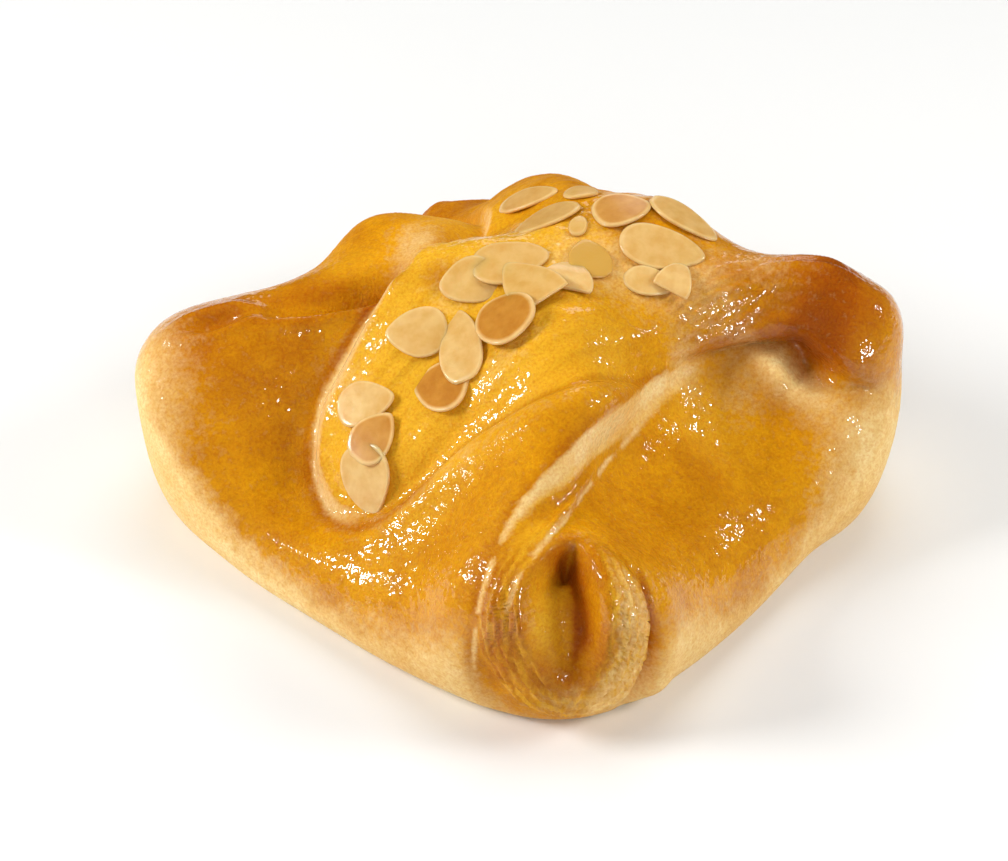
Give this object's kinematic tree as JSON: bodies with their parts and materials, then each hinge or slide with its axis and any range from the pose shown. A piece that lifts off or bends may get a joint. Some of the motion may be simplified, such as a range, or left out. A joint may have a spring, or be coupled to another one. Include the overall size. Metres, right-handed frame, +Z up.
{
  "type": "cheese danish",
  "caption": "Square sweet pastry whose sides fold over to the middle, with curled corners, a crossing top flap and almond flakes, to be eaten or served.",
  "frame": {"origin": "centre of the bottom of the pastry's bounding box, on the surface it rests on", "axes": "+Z up; +X from the left corner to the right corner, the longest way across; -Y towards the front corner"},
  "size_m": [0.1374, 0.1324, 0.054],
  "materials": {
    "baked_dough": "egg-washed and glazed baked dough"
  },
  "bodies": {
    "root": {"pastry": "baked_dough"}
  },
  "joints": []
}
